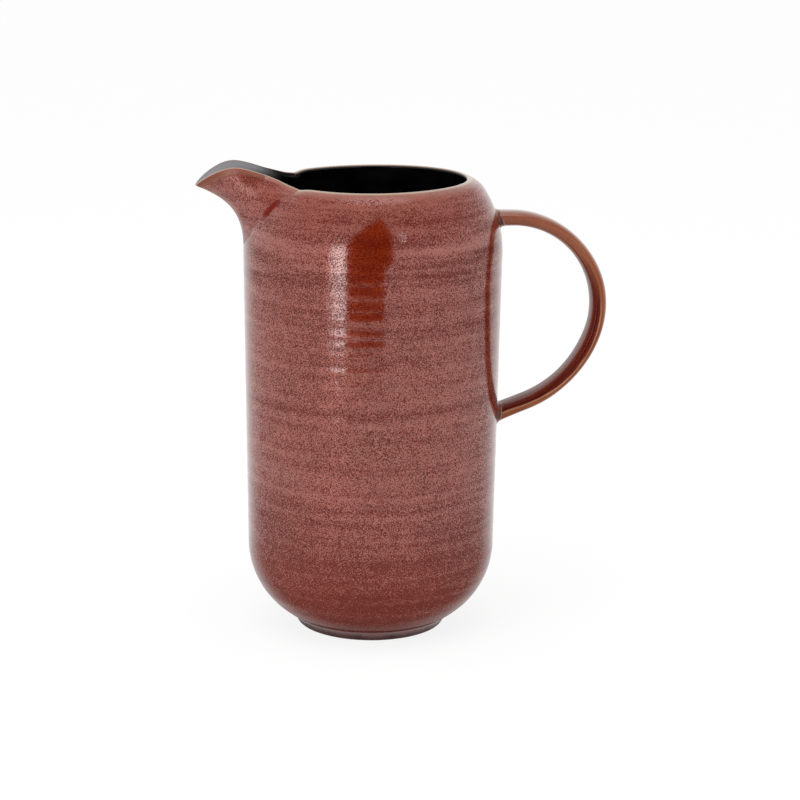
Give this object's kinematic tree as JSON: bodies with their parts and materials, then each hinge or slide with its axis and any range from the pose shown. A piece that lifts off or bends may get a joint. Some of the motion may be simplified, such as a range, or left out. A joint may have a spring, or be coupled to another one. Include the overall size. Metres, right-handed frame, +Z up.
{
  "type": "stoneware jug",
  "caption": "Speckled red stoneware jug with a rounded shoulder, a beak spout in the rim, a loop handle and a black glazed inside.",
  "frame": {"origin": "centre of the foot ring's resting face, on the axis of the body", "axes": "+Z up along the body's axis, -X toward the spout, +X toward the handle"},
  "size_m": [0.1917, 0.1204, 0.2195],
  "materials": {
    "speckled_red_glaze": "satin gloss, fine tan speckle over iron red",
    "dark_foot": "thin dark glaze over dark-fired clay",
    "spout_glaze": "satin gloss red outside with rust breaks, black inside, tan edge",
    "handle_glaze": "gloss, rust and dark red streaks along the strap",
    "fillet_glaze": "gloss, dark where the glaze pools",
    "black_liner": "gloss black"
  },
  "bodies": {
    "root": {"body": "speckled_red_glaze", "foot_ring": "dark_foot", "spout": "spout_glaze", "handle": "handle_glaze", "upper_handle_fillet": "fillet_glaze", "lower_handle_fillet": "fillet_glaze", "liner_glaze": "black_liner"}
  },
  "joints": []
}
